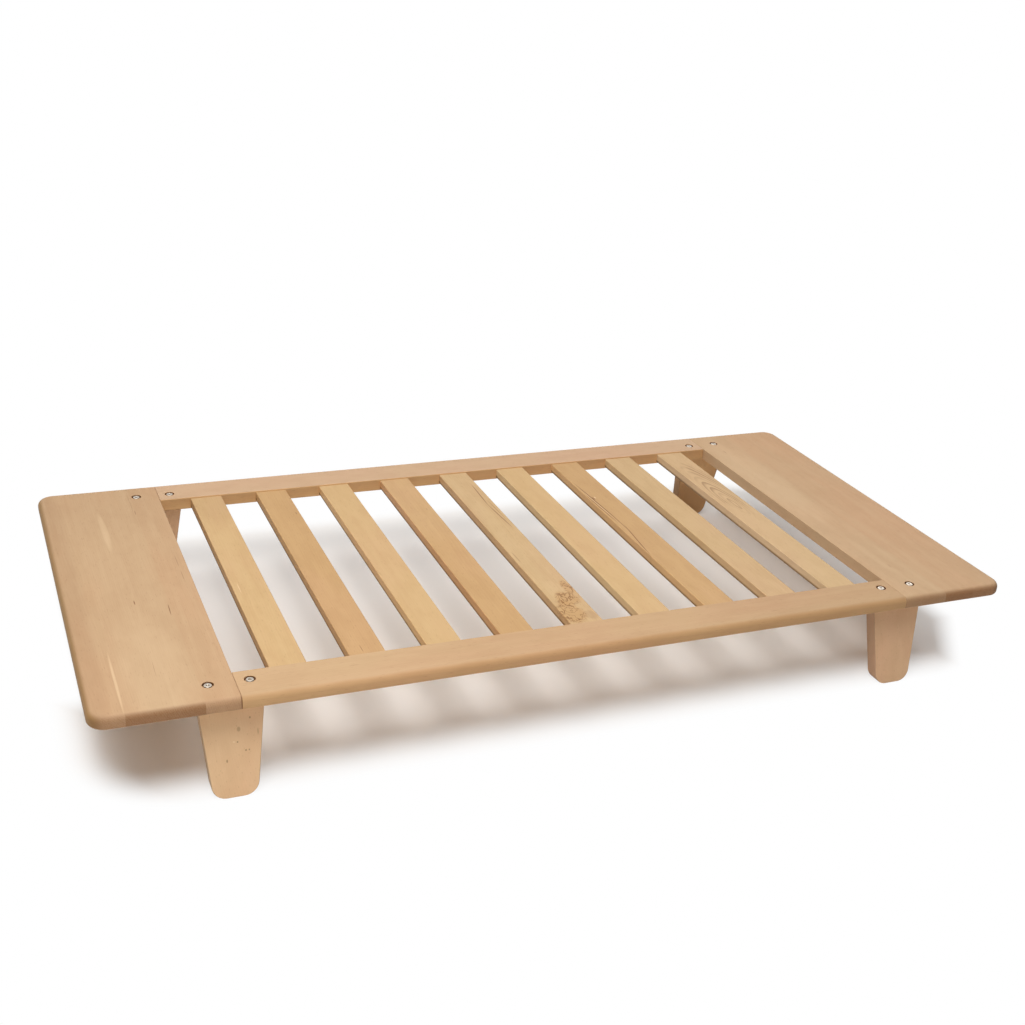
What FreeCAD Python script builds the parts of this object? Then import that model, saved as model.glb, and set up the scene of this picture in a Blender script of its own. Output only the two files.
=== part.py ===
import FreeCAD, Part
import math
import os

# Low slatted bed for a toddler, in solid beech. Two wide end boards and two side rails make a
# flat frame, nine slats are tenoned between the rails, and four splayed board legs are bolted
# under the joints of the frame.
# Millimetres. +X runs along the bed, +Y towards the far side rail, +Z up.
# The origin is on the floor, under the middle of the bed.

# ---------------------------------------------------------------- driving sizes
bed_length = 1400.0
bed_width = 700.0
bed_height = 155.0

# frame
frame_thickness = 20.0
end_board_width = 188.0
rail_width = 65.0
outer_corner_radius = 24.0
top_edge_radius = 9.0
bottom_edge_radius = 6.0
arris_radius = 1.0

# slats
slat_count = 9
slat_width = 51.0
slat_thickness = 15.0
slat_recess = 2.0
slat_end_gap = 49.5
slat_arris_radius = 1.5
tenon_shoulder = 6.0
tenon_thickness = 8.0
tenon_length = 20.0

# legs
leg_top_width = 88.0
leg_foot_width = 59.0
leg_thickness = 22.0
leg_splay_angle = 10.0
leg_foot_corner_radius = 20.0
leg_arris_radius = 1.5
leg_shift_past_joint = 8.0
leg_line_from_rail_edge = 23.0

# bolts, two to each leg
bolt_spacing = 54.0
bolt_diameter = 6.0
bolt_length = 30.0
bolt_head_diameter = 10.5
bolt_head_height = 4.1
bolt_head_rounding = 0.7
bolt_tip_chamfer = 0.8
socket_across_flats = 4.0
socket_depth = 2.2
counterbore_diameter = 15.0
counterbore_depth = 4.5

# threaded inserts in the leg tops
insert_diameter = 10.0
insert_length = 15.0
insert_ridge_count = 5
insert_ridge_height = 0.6

# dowels between the rail ends and the end boards
dowel_diameter = 8.0
dowel_length = 38.0
dowel_chamfer = 1.0
dowel_from_inner_edge = 10.0
dowel_from_outer_edge = 17.0

# clearances
bolt_hole_clearance = 0.25
thread_clearance = 0.05
insert_clearance = 0.05
bolt_tip_clearance = 3.0
dowel_clearance = 0.1
dowel_end_clearance = 1.0
tenon_clearance = 0.1
tenon_end_clearance = 1.0

# ---------------------------------------------------------------- places worked out from them
top_z = bed_height
underside_z = bed_height - frame_thickness
frame_middle_z = bed_height - frame_thickness / 2.0
joint_x = bed_length / 2.0 - end_board_width
rail_inner_y = bed_width / 2.0 - rail_width
slat_pitch = (2.0 * joint_x - 2.0 * slat_end_gap - slat_width) / (slat_count - 1)
slat_top_z = top_z - slat_recess
slat_middle_z = slat_top_z - slat_thickness / 2.0
leg_centre_x = joint_x + leg_shift_past_joint
leg_line_y = rail_inner_y + leg_line_from_rail_edge
bolt_seat_z = top_z - counterbore_depth
bolt_xs = (leg_centre_x - bolt_spacing / 2.0, leg_centre_x + bolt_spacing / 2.0)
dowel_ys = (rail_inner_y + dowel_from_inner_edge, bed_width / 2.0 - dowel_from_outer_edge)

UP = FreeCAD.Vector(0, 0, 1)
ALONG = FreeCAD.Vector(1, 0, 0)
ACROSS = FreeCAD.Vector(0, 1, 0)
TINY = 1e-4


def vec(x, y, z):
    return FreeCAD.Vector(x, y, z)


def limited(radius, wall):
    """A rounding radius, held to a little under half of the wall that it rounds."""
    return min(radius, 0.47 * wall)


def block(x_range, y_range, z_range):
    size = [high - low for low, high in (x_range, y_range, z_range)]
    corner = vec(x_range[0], y_range[0], z_range[0])
    return Part.makeBox(size[0], size[1], size[2], corner)


def rod(radius, length, base, direction=UP):
    return Part.makeCylinder(radius, length, base, direction)


def edges_where(shape, test):
    """The edges whose every vertex and middle point pass the test."""
    found = []
    for edge in shape.Edges:
        middle = edge.valueAt((edge.FirstParameter + edge.LastParameter) / 2.0)
        points = [vertex.Point for vertex in edge.Vertexes] + [middle]
        if all(test(point) for point in points):
            found.append(edge)
    return found


def rounded(shape, radius, test):
    return shape.makeFillet(radius, edges_where(shape, test))


def rounded_outline(corners):
    """A closed wire through (point, radius) corners, each corner cut by a tangent arc."""
    count = len(corners)
    stops = []
    for index in range(count):
        point, radius = corners[index]
        before = (corners[index - 1][0] - point).normalize()
        after = (corners[(index + 1) % count][0] - point).normalize()
        if radius <= 0:
            stops.append((point, point, point))
            continue
        half_angle = before.getAngle(after) / 2.0
        reach = radius / math.tan(half_angle)
        bisector = (before + after).normalize()
        arc_middle = point + bisector * (radius / math.sin(half_angle) - radius)
        stops.append((point + before * reach, arc_middle, point + after * reach))
    edges = []
    for index in range(count):
        start, middle, end = stops[index]
        following = stops[(index + 1) % count][0]
        if start.distanceToPoint(end) > TINY:
            edges.append(Part.Arc(start, middle, end).toShape())
        if end.distanceToPoint(following) > TINY:
            edges.append(Part.LineSegment(end, following).toShape())
    return Part.Wire(edges)


# ---------------------------------------------------------------- shared cutters
def bolt_cutter(x, y):
    """The clearance hole and the counterbore of one bolt, through the frame."""
    hole_radius = bolt_diameter / 2.0 + bolt_hole_clearance
    hole = rod(hole_radius, frame_thickness + 2.0, vec(x, y, underside_z - 1.0))
    mouth = rod(counterbore_diameter / 2.0, counterbore_depth + 1.0, vec(x, y, bolt_seat_z))
    return hole.fuse(mouth)


def dowel_cutter(side_x, y):
    """The hole of one dowel, half in the rail end and half in the end board."""
    length = dowel_length + 2.0 * dowel_end_clearance
    start = vec(side_x * joint_x - length / 2.0, y, frame_middle_z)
    return rod(dowel_diameter / 2.0 + dowel_clearance, length, start, ALONG)


def slat_centre_x(index):
    return (index - (slat_count - 1) / 2.0) * slat_pitch


def tenon_block(x, side_y, clearance, end_clearance):
    """One slat tenon, grown by the clearances where it is the mortise's cutter."""
    half_width = slat_width / 2.0 - tenon_shoulder + clearance
    half_thickness = tenon_thickness / 2.0 + clearance
    near = rail_inner_y - 1.0
    far = rail_inner_y + tenon_length + end_clearance
    y_range = sorted((side_y * near, side_y * far))
    x_range = (x - half_width, x + half_width)
    z_range = (slat_middle_z - half_thickness, slat_middle_z + half_thickness)
    return block(x_range, y_range, z_range)


# ---------------------------------------------------------------- frame
def make_end_board(side_x):
    """A wide board across the bed, rounded over along its three free sides."""
    inner = side_x * joint_x
    outer = side_x * bed_length / 2.0
    half = bed_width / 2.0
    radius = limited(outer_corner_radius, end_board_width)
    corners = [
        (vec(inner, -half, underside_z), 0.0),
        (vec(outer, -half, underside_z), radius),
        (vec(outer, half, underside_z), radius),
        (vec(inner, half, underside_z), 0.0),
    ]
    board = Part.Face(rounded_outline(corners)).extrude(UP * frame_thickness)

    def off_joint(point):
        return abs(point.x - inner) > TINY or abs(abs(point.y) - half) < TINY

    def top_rim(point):
        return abs(point.z - top_z) < TINY and off_joint(point)

    def bottom_rim(point):
        return abs(point.z - underside_z) < TINY and off_joint(point)

    def joint_rim(point):
        return abs(point.x - inner) < TINY

    board = rounded(board, limited(top_edge_radius, frame_thickness), top_rim)
    board = rounded(board, limited(bottom_edge_radius, frame_thickness), bottom_rim)
    board = rounded(board, arris_radius, joint_rim)
    cutters = []
    for side_y in (-1, 1):
        cutters.append(bolt_cutter(side_x * bolt_xs[1], side_y * leg_line_y))
        cutters += [dowel_cutter(side_x, side_y * y) for y in dowel_ys]
    return board.cut(cutters)


def make_rail(side_y):
    """A side rail between the end boards, mortised for the slats along its inner edge."""
    inner = side_y * rail_inner_y
    outer = side_y * bed_width / 2.0
    rail = block((-joint_x, joint_x), sorted((inner, outer)), (underside_z, top_z))

    def outer_top(point):
        return abs(point.y - outer) < TINY and abs(point.z - top_z) < TINY

    def outer_bottom(point):
        return abs(point.y - outer) < TINY and abs(point.z - underside_z) < TINY

    def inner_arris(point):
        on_face = min(abs(point.z - top_z), abs(point.z - underside_z)) < TINY
        return abs(point.y - inner) < TINY and on_face

    def end_rims(point):
        return abs(abs(point.x) - joint_x) < TINY

    rail = rounded(rail, limited(top_edge_radius, frame_thickness), outer_top)
    rail = rounded(rail, limited(bottom_edge_radius, frame_thickness), outer_bottom)
    rail = rounded(rail, 1.5 * arris_radius, inner_arris)
    rail = rounded(rail, arris_radius, end_rims)
    cutters = []
    for index in range(slat_count):
        x = slat_centre_x(index)
        cutters.append(tenon_block(x, side_y, tenon_clearance, tenon_end_clearance))
    for side_x in (-1, 1):
        cutters.append(bolt_cutter(side_x * bolt_xs[0], side_y * leg_line_y))
        cutters += [dowel_cutter(side_x, side_y * y) for y in dowel_ys]
    return rail.cut(cutters)


def make_slat(index):
    """A slat shouldered between the rails, with a tenon at each end."""
    x = slat_centre_x(index)
    x_range = (x - slat_width / 2.0, x + slat_width / 2.0)
    y_range = (-rail_inner_y, rail_inner_y)
    z_range = (slat_top_z - slat_thickness, slat_top_z)
    slat = block(x_range, y_range, z_range)

    def long_arris(point):
        on_side = min(abs(point.x - edge) for edge in x_range) < TINY
        on_face = min(abs(point.z - face) for face in z_range) < TINY
        return on_side and on_face

    slat = rounded(slat, limited(slat_arris_radius, slat_thickness), long_arris)
    tenons = [tenon_block(x, side_y, 0.0, 0.0) for side_y in (-1, 1)]
    return slat.fuse(tenons).removeSplitter()


# ---------------------------------------------------------------- legs
def make_leg(side_x, side_y):
    """A tapered board with big round foot corners, splayed outwards across the bed."""
    splay = math.radians(leg_splay_angle)
    level_thickness = leg_thickness / math.cos(splay)
    foot_shift = underside_z * math.tan(splay)
    centre = side_x * leg_centre_x
    top_y = side_y * (leg_line_y - level_thickness / 2.0)
    foot_y = side_y * (leg_line_y - level_thickness / 2.0 + foot_shift)
    radius = limited(leg_foot_corner_radius, leg_foot_width)
    corners = [
        (vec(centre - leg_top_width / 2.0, top_y, underside_z), 0.0),
        (vec(centre + leg_top_width / 2.0, top_y, underside_z), 0.0),
        (vec(centre + leg_foot_width / 2.0, foot_y, 0.0), radius),
        (vec(centre - leg_foot_width / 2.0, foot_y, 0.0), radius),
    ]
    inner_face = Part.Face(rounded_outline(corners))
    leg = inner_face.extrude(ACROSS * (side_y * level_thickness))

    def on_broad_face(point):
        drop = (underside_z - point.z) * math.tan(splay)
        from_inner = side_y * (point.y - top_y) - drop
        return min(abs(from_inner), abs(from_inner - level_thickness)) < TINY

    broad_rims = edges_where(leg, on_broad_face)
    top_rims = edges_where(leg, lambda point: abs(point.z - underside_z) < TINY)
    rims = [edge for edge in broad_rims if not any(edge.isSame(top) for top in top_rims)]
    leg = leg.makeFillet(limited(leg_arris_radius, leg_thickness), rims)
    cutters = []
    for x in bolt_xs:
        seat = vec(side_x * x, side_y * leg_line_y, underside_z - insert_length)
        bore_radius = insert_diameter / 2.0 + insert_clearance
        cutters.append(rod(bore_radius, insert_length + 1.0, seat))
        tip_z = bolt_seat_z - bolt_length - bolt_tip_clearance
        tip_radius = bolt_diameter / 2.0 + bolt_hole_clearance
        tip = vec(side_x * x, side_y * leg_line_y, tip_z)
        cutters.append(rod(tip_radius, underside_z - tip_z, tip))
    return leg.cut(cutters)


# ---------------------------------------------------------------- hardware
def make_bolt(x, y):
    """A bolt with a low, flat head and a hexagon socket, seated in its counterbore."""
    head_radius = bolt_head_diameter / 2.0
    shank_radius = bolt_diameter / 2.0
    rounding = limited(bolt_head_rounding, bolt_head_height)
    crown_z = bolt_seat_z + bolt_head_height
    tip_z = bolt_seat_z - bolt_length
    flat_edge = vec(head_radius - rounding, 0, crown_z)
    inset = rounding * (1.0 - math.cos(math.radians(45)))
    rim_middle = vec(head_radius - inset, 0, crown_z - inset)
    rim_top = vec(head_radius, 0, crown_z - rounding)
    crown = vec(0, 0, crown_z)
    points = [
        vec(head_radius, 0, bolt_seat_z),
        vec(shank_radius, 0, bolt_seat_z),
        vec(shank_radius, 0, tip_z + bolt_tip_chamfer),
        vec(shank_radius - bolt_tip_chamfer, 0, tip_z),
        vec(0, 0, tip_z),
        crown,
    ]
    edges = [Part.Arc(flat_edge, rim_middle, rim_top).toShape()]
    edges.append(Part.LineSegment(crown, flat_edge).toShape())
    edges.append(Part.LineSegment(rim_top, points[0]).toShape())
    for start, end in zip(points[:-1], points[1:]):
        edges.append(Part.LineSegment(start, end).toShape())
    profile = Part.Face(Part.Wire(Part.sortEdges(edges)[0]))
    bolt = profile.revolve(vec(0, 0, 0), UP, 360)
    corner_radius = socket_across_flats / 2.0 / math.cos(math.radians(30))
    hexagon = []
    for step in range(7):
        angle = math.radians(60.0 * step)
        corner = vec(corner_radius * math.cos(angle), corner_radius * math.sin(angle), 0)
        hexagon.append(corner + vec(0, 0, crown_z - socket_depth))
    socket = Part.Face(Part.makePolygon(hexagon)).extrude(UP * (socket_depth + 1.0))
    bolt = bolt.cut(socket)
    bolt.translate(vec(x, y, 0))
    return bolt


def make_insert(x, y):
    """A threaded insert: a sleeve with ridges outside, flush with the leg's top."""
    base_z = underside_z - insert_length
    core_radius = insert_diameter / 2.0 - insert_ridge_height
    sleeve = rod(core_radius, insert_length, vec(x, y, base_z))
    ridge_pitch = insert_length / insert_ridge_count
    ridges = []
    for index in range(insert_ridge_count):
        ridge_z = base_z + index * ridge_pitch
        ridges.append(rod(insert_diameter / 2.0, ridge_pitch / 2.0, vec(x, y, ridge_z)))
    sleeve = sleeve.fuse(ridges).removeSplitter()
    thread_radius = bolt_diameter / 2.0 + thread_clearance
    return sleeve.cut(rod(thread_radius, insert_length + 2.0, vec(x, y, base_z - 1.0)))


def make_dowel(side_x, y):
    """A dowel across the joint, with chamfered ends."""
    start = vec(side_x * joint_x - dowel_length / 2.0, y, frame_middle_z)
    dowel = rod(dowel_diameter / 2.0, dowel_length, start, ALONG)

    def end_rim(point):
        return abs(abs(point.x - side_x * joint_x) - dowel_length / 2.0) < TINY

    return dowel.makeChamfer(dowel_chamfer, edges_where(dowel, end_rim))


# ---------------------------------------------------------------- the whole bed
def build():
    parts = {}
    for side_x, end_name in ((-1, "left"), (1, "right")):
        parts["end_board_" + end_name] = make_end_board(side_x)
    for side_y, side_name in ((-1, "front"), (1, "back")):
        parts["rail_" + side_name] = make_rail(side_y)
    for index in range(slat_count):
        parts["slat_" + str(index + 1)] = make_slat(index)
    for side_y, side_name in ((-1, "front"), (1, "back")):
        for side_x, end_name in ((-1, "left"), (1, "right")):
            corner = side_name + "_" + end_name
            y = side_y * leg_line_y
            bolts = [make_bolt(side_x * x, y) for x in bolt_xs]
            inserts = [make_insert(side_x * x, y) for x in bolt_xs]
            dowels = [make_dowel(side_x, side_y * dowel_y) for dowel_y in dowel_ys]
            parts["leg_" + corner] = make_leg(side_x, side_y)
            parts["bolts_" + corner] = Part.makeCompound(bolts)
            parts["threaded_inserts_" + corner] = Part.makeCompound(inserts)
            parts["dowels_" + corner] = Part.makeCompound(dowels)
    return parts


os.makedirs("parts", exist_ok=True)
for name, shape in build().items():
    shape.exportStep("parts/" + name + ".step")
    box = shape.BoundBox
    size = "%.1f x %.1f x %.1f" % (box.XLength, box.YLength, box.ZLength)
    print(name, "solids", len(shape.Solids), "valid", shape.isValid(), "size", size)
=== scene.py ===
import logging
import math
from dataclasses import dataclass, field
from enum import Enum
from typing import ClassVar

import bmesh
import bpy
import numpy as np
from mathutils import Euler, Matrix, Vector


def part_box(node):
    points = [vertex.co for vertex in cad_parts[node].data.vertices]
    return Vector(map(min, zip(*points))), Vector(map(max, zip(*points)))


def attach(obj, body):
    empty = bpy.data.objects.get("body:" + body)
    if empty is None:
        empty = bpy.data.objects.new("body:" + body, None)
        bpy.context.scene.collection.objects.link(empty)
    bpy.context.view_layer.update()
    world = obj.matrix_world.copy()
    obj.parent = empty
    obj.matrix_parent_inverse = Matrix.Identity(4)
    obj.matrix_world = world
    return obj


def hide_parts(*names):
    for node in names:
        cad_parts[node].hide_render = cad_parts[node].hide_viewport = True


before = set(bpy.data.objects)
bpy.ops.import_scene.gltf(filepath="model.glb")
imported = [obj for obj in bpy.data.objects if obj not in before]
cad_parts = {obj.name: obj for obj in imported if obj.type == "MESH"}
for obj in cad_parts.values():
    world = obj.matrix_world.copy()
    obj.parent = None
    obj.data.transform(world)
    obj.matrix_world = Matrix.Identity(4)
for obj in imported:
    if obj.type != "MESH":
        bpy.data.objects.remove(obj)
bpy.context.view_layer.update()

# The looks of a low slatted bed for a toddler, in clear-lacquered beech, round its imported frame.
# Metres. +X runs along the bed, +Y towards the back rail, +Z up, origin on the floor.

log = logging.getLogger("toddler_bed")

BODY = "root"
WELD = 1e-6
SHARP_ANGLE = math.radians(38.0)
LEG_SPLAY = math.radians(10.0)
ARRIS_STEPS = 4


# -------- surfaces
@dataclass
class Skin:
    """The surface of one piece, gathered as grids of points and flat end polygons."""

    points: list[np.ndarray] = field(default_factory=list)
    faces: list[list[int]] = field(default_factory=list)
    count: int = 0

    def add_grid(self, grid: np.ndarray, closed: bool = False) -> None:
        """Adds a grid of points as quads.

        Args:
            grid: points, shaped (rows, columns, 3).
            closed: whether the last column joins the first.
        """
        rows, columns = grid.shape[:2]
        index = np.arange(rows * columns).reshape(rows, columns) + self.count
        if closed:
            index = np.concatenate([index, index[:, :1]], axis=1)
        quads = np.stack([index[:-1, :-1], index[:-1, 1:], index[1:, 1:], index[1:, :-1]], axis=-1)
        self.points.append(grid.reshape(-1, 3))
        self.faces.extend(quads.reshape(-1, 4).tolist())
        self.count += rows * columns

    def add_polygon(self, loop: np.ndarray) -> None:
        """Adds one flat polygon.

        Args:
            loop: its corners in order, shaped (corners, 3).
        """
        self.points.append(loop)
        self.faces.append(list(range(self.count, self.count + len(loop))))
        self.count += len(loop)

    def build(self, name: str) -> bpy.types.Object:
        """Welds the grids into one closed mesh whose faces point outwards.

        Args:
            name: the object's name.

        Returns:
            The new object, at the origin.
        """
        mesh = bpy.data.meshes.new(name)
        mesh.from_pydata(np.concatenate(self.points).tolist(), [], self.faces)
        work = bmesh.new()
        work.from_mesh(mesh)
        bmesh.ops.remove_doubles(work, verts=work.verts, dist=WELD)
        bmesh.ops.recalc_face_normals(work, faces=work.faces)
        work.to_mesh(mesh)
        work.free()
        piece = bpy.data.objects.new(name, mesh)
        bpy.context.scene.collection.objects.link(piece)
        soften(mesh)
        return piece


def soften(mesh: bpy.types.Mesh) -> None:
    """Shades a mesh smooth, except over its sharp edges."""
    mesh.shade_smooth()
    mesh.set_sharp_from_angle(angle=SHARP_ANGLE)


def revolve(radius: np.ndarray, height: np.ndarray, turn: np.ndarray) -> np.ndarray:
    """A surface of revolution: the point at turn t and step s is (r cos t, r sin t, h).

    Args:
        radius: r, with a row for each step, and one column or one for each turn.
        height: h, with a row for each step and one column.
        turn: the angles.

    Returns:
        Points, shaped (steps, turns, 3).
    """
    return np.stack(np.broadcast_arrays(radius * np.cos(turn), radius * np.sin(turn), height), axis=-1)


def full_turn(steps: int) -> np.ndarray:
    """Angles evenly round a circle, with the last one left off."""
    return np.arange(steps) * (2.0 * np.pi / steps)


def quarter_turn(steps: int) -> np.ndarray:
    """Angles evenly over a quarter circle, from 0 to 90 degrees."""
    return np.linspace(0.0, np.pi / 2.0, steps + 1)


def edge_profile(thickness: float, top: float, bottom: float, margin: float, steps: int) -> np.ndarray:
    """A board's edge from its top face round to its underside.

    A quarter circle of the top radius leads from the top face to the side, and a quarter circle
    of the bottom radius leads on to the underside. One more point stands on each face.

    Args:
        thickness: the board's thickness.
        top: radius of the upper rounding.
        bottom: radius of the lower rounding.
        margin: how far the face points stand in from the side.
        steps: facets in each quarter circle.

    Returns:
        Rows of inset, height, and the inward normal's inset and height parts.
    """
    turn = quarter_turn(steps)
    sine, cosine = np.sin(turn), np.cos(turn)
    upper = np.stack([top * (1 - sine), thickness - top * (1 - cosine), sine, -cosine], axis=1)
    lower = np.stack([bottom * (1 - cosine), bottom * (1 - sine), cosine, sine], axis=1)
    first = np.array([[margin, thickness, 0.0, -1.0]])
    last = np.array([[margin, 0.0, 0.0, 1.0]])
    return np.concatenate([first, upper, lower, last])


@dataclass(frozen=True)
class Tongue:
    """A flat outline that is open at one end: two sides, two round corners and an end line.

    In its own plane, run counts from the open end and across from the middle line. The sides
    lean in from the open half width to the end half width.
    """

    length: float
    open_half: float
    end_half: float
    radius: float
    side_steps: int
    corner_steps: int
    end_steps: int

    @property
    def rows(self) -> int:
        """Stations from the open end to where a corner meets the end line."""
        return self.side_steps + self.corner_steps + 1

    def stations(self, start: float) -> tuple[np.ndarray, np.ndarray]:
        """Walks down one side, round the end and up the other side.

        A corner's point is its centre plus the radius along (cos t, sin t), where t falls from
        the side's normal to the end line's. The centre is one radius in from both lines.

        Args:
            start: the run at which the walk begins and ends.

        Returns:
            The points and their inward normals, each shaped (stations, 2).
        """
        lean = math.atan2(self.open_half - self.end_half, self.length)
        centre_run = self.length - self.radius
        slack = self.radius + math.sin(lean) * centre_run
        centre_across = self.open_half - slack / math.cos(lean)
        turn = np.linspace(np.pi / 2.0 - lean, 0.0, self.corner_steps + 1)
        outward = np.stack([np.cos(turn), np.sin(turn)], axis=1)
        corner = np.array([centre_run, centre_across]) + self.radius * outward
        begin = np.array([start, self.open_half - start * math.tan(lean)])
        share = np.linspace(0.0, 1.0, self.side_steps + 1)[:-1, None]
        side = begin + (corner[0] - begin) * share
        side_normal = np.repeat(outward[:1], self.side_steps, axis=0)
        side_normal[0] = (0.0, 1.0 / math.cos(lean))
        half = np.concatenate([side, corner])
        half_normal = np.concatenate([side_normal, outward])
        across = np.linspace(centre_across, -centre_across, self.end_steps + 1)[1:-1]
        end = np.stack([np.full_like(across, self.length), across], axis=1)
        end_normal = np.repeat([[1.0, 0.0]], len(end), axis=0)
        mirror = np.array([1.0, -1.0])
        points = np.concatenate([half, end, half[::-1] * mirror])
        normals = np.concatenate([half_normal, end_normal, half_normal[::-1] * mirror])
        return points, -normals


@dataclass(frozen=True)
class Placing:
    """Where a board's own directions lie: origin + run R + across A + depth D."""

    origin: np.ndarray
    run: np.ndarray
    across: np.ndarray
    depth: np.ndarray

    def put(self, run: np.ndarray, across: np.ndarray, depth: np.ndarray) -> np.ndarray:
        """Carries points to their place in the bed.

        Args:
            run: how far each lies along R.
            across: how far along A.
            depth: how far along D.

        Returns:
            The points, with x, y and z in a last axis.
        """
        run, across, depth = np.broadcast_arrays(run, across, depth)
        moved = run[..., None] * self.run + across[..., None] * self.across
        return self.origin + moved + depth[..., None] * self.depth


def tongue_board(outline: Tongue, profile: np.ndarray, end_arris: float, placing: Placing) -> Skin:
    """A flat board whose outline is a tongue and whose edge follows a profile.

    The edge is the profile carried along the outline: a point is outline + inset x inward
    normal, at the profile's depth. Each face is ruled between the two sides. The open end is
    flat, with a quarter-round arris where it has one.

    Args:
        outline: the board's outline.
        profile: rows from edge_profile.
        end_arris: radius of the arris round the open end, or 0.
        placing: where the board lies.

    Returns:
        The closed skin.
    """
    skin = Skin()
    points, inward = outline.stations(end_arris)
    inset, depth = profile[:, 0], profile[:, 1]
    edge = points[:, None, :] + inward[:, None, :] * inset[None, :, None]
    skin.add_grid(placing.put(edge[..., 0], edge[..., 1], depth[None, :]))
    share = np.linspace(0.0, 1.0, outline.end_steps + 1)[None, :, None]
    ruled = []
    for column in (0, -1):
        one, other = edge[: outline.rows, None, column], edge[::-1][: outline.rows, None, column]
        face = one * (1.0 - share) + other * share
        ruled.append(face)
        skin.add_grid(placing.put(face[..., 0], face[..., 1], np.array(depth[column])))
    top, bottom = ruled[0][0, :, 1], ruled[1][0, ::-1, 1]
    near, far = edge[0, ::-1, 1], edge[-1, :, 1]
    across = np.concatenate([top, far[1:], bottom[1:], near[1:-1]])
    high = np.concatenate([
        np.full_like(top, depth[0]), depth[1:], np.full_like(bottom, depth[-1])[1:], depth[::-1][1:-1]
    ])
    flat = np.zeros_like(top)
    across_in = np.concatenate([flat, profile[1:, 2], flat[1:], -profile[::-1, 2][1:-1]])
    high_in = np.concatenate([flat - 1.0, profile[1:, 3], flat[1:] + 1.0, profile[::-1, 3][1:-1]])
    turn = quarter_turn(ARRIS_STEPS)[:, None] if end_arris > 0 else np.zeros((1, 1))
    shrink = end_arris * (1.0 - np.cos(turn))
    run = end_arris * (1.0 - np.sin(turn))
    loops = placing.put(run, across + across_in * shrink, high + high_in * shrink)
    if end_arris > 0:
        skin.add_grid(loops, closed=True)
    skin.add_polygon(loops[-1])
    return skin


def bar_section(width: float, thickness: float, radii: tuple[float, float, float, float],
                steps: int) -> np.ndarray:
    """A bar's section: a rectangle with four quarter-circle corners, walked round once.

    Args:
        width: across the bar.
        thickness: its height.
        radii: of the corners at (+, top), (-, top), (-, bottom) and (+, bottom).
        steps: facets in each corner.

    Returns:
        Rows of across, height, and the inward normal's across and height parts, from the middle.
    """
    turn = quarter_turn(steps)
    rows = []
    signs = ((1, 1), (-1, 1), (-1, -1), (1, -1))
    for quarter, (radius, (side, level)) in enumerate(zip(radii, signs)):
        angle = turn + quarter * np.pi / 2.0
        cosine, sine = np.cos(angle), np.sin(angle)
        centre = (side * (width / 2.0 - radius), level * (thickness / 2.0 - radius))
        arc = np.stack([centre[0] + radius * cosine, centre[1] + radius * sine, -cosine, -sine], axis=1)
        margin = min(0.25 * thickness, radius)
        before, after = arc[:1].copy(), arc[-1:].copy()
        before[0, :2] += margin * np.array([sine[0], -cosine[0]])
        after[0, :2] += margin * np.array([-sine[-1], cosine[-1]])
        rows += [before, arc, after]
    return np.concatenate(rows)


def loft(section: np.ndarray, stations: np.ndarray, scales: np.ndarray, shrinks: np.ndarray,
         placing: Placing) -> Skin:
    """A section carried along a straight bar, with flat ends.

    At each station a point is the section's point x scale + inward normal x shrink.

    Args:
        section: rows from bar_section.
        stations: the runs, in order.
        scales: across and height scale at each station, shaped (stations, 2).
        shrinks: how far the section is drawn in at each station.
        placing: where the bar lies; its across and depth directions carry the section.

    Returns:
        The closed skin.
    """
    across = section[:, 0] * scales[:, :1] + section[:, 2] * shrinks[:, None]
    high = section[:, 1] * scales[:, 1:] + section[:, 3] * shrinks[:, None]
    loops = placing.put(stations[:, None], across, high)
    skin = Skin()
    skin.add_grid(loops, closed=True)
    skin.add_polygon(loops[0])
    skin.add_polygon(loops[-1])
    return skin


def turned_hole(rows: list[tuple[float, float]], centre: tuple[float, float, float], steps: int,
                lying: bool = False) -> Skin:
    """The room of a turned shape, as a closed skin to cut with.

    Args:
        rows: the radius and height of each step of its outline.
        centre: the point from which the heights count.
        steps: facets round it.
        lying: whether its axis runs along X, instead of up.

    Returns:
        The closed skin.
    """
    outline = np.array(rows)
    grid = revolve(outline[:, :1], outline[:, 1:], full_turn(steps))
    skin = Skin()
    skin.add_grid((grid[..., [2, 0, 1]] if lying else grid) + np.array(centre), closed=True)
    return skin


def slot_hole(low: Vector, high: Vector) -> Skin:
    """A box-shaped slot, as a closed skin to cut with.

    Args:
        low: its lowest corner.
        high: its highest corner.

    Returns:
        The closed skin.
    """
    corners = np.array([[low.x, low.y], [high.x, low.y], [high.x, high.y], [low.x, high.y]])
    rings = np.stack([np.column_stack([corners, np.full(4, z)]) for z in (low.z, high.z)])
    skin = Skin()
    skin.add_grid(rings, closed=True)
    skin.add_polygon(rings[0])
    skin.add_polygon(rings[1])
    return skin


def drill(piece: bpy.types.Object, holes: list[Skin]) -> None:
    """Cuts holes out of a piece.

    Args:
        piece: the object to cut.
        holes: closed skins that don't touch each other.
    """
    merged = Skin()
    for hole in holes:
        merged.faces.extend([[corner + merged.count for corner in face] for face in hole.faces])
        merged.points.extend(hole.points)
        merged.count += hole.count
    cutter = merged.build(piece.name + "_cutter")
    modifier = piece.modifiers.new("holes", "BOOLEAN")
    modifier.operation, modifier.solver, modifier.object = "DIFFERENCE", "EXACT", cutter
    finished = bpy.data.meshes.new_from_object(
        piece.evaluated_get(bpy.context.evaluated_depsgraph_get())
    )
    piece.modifiers.clear()
    plain, piece.data = piece.data, finished
    finished.name = piece.name
    bpy.data.meshes.remove(plain)
    bpy.data.objects.remove(cutter)
    soften(piece.data)


# -------- node graphs
Colour = tuple[float, float, float, float]


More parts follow.
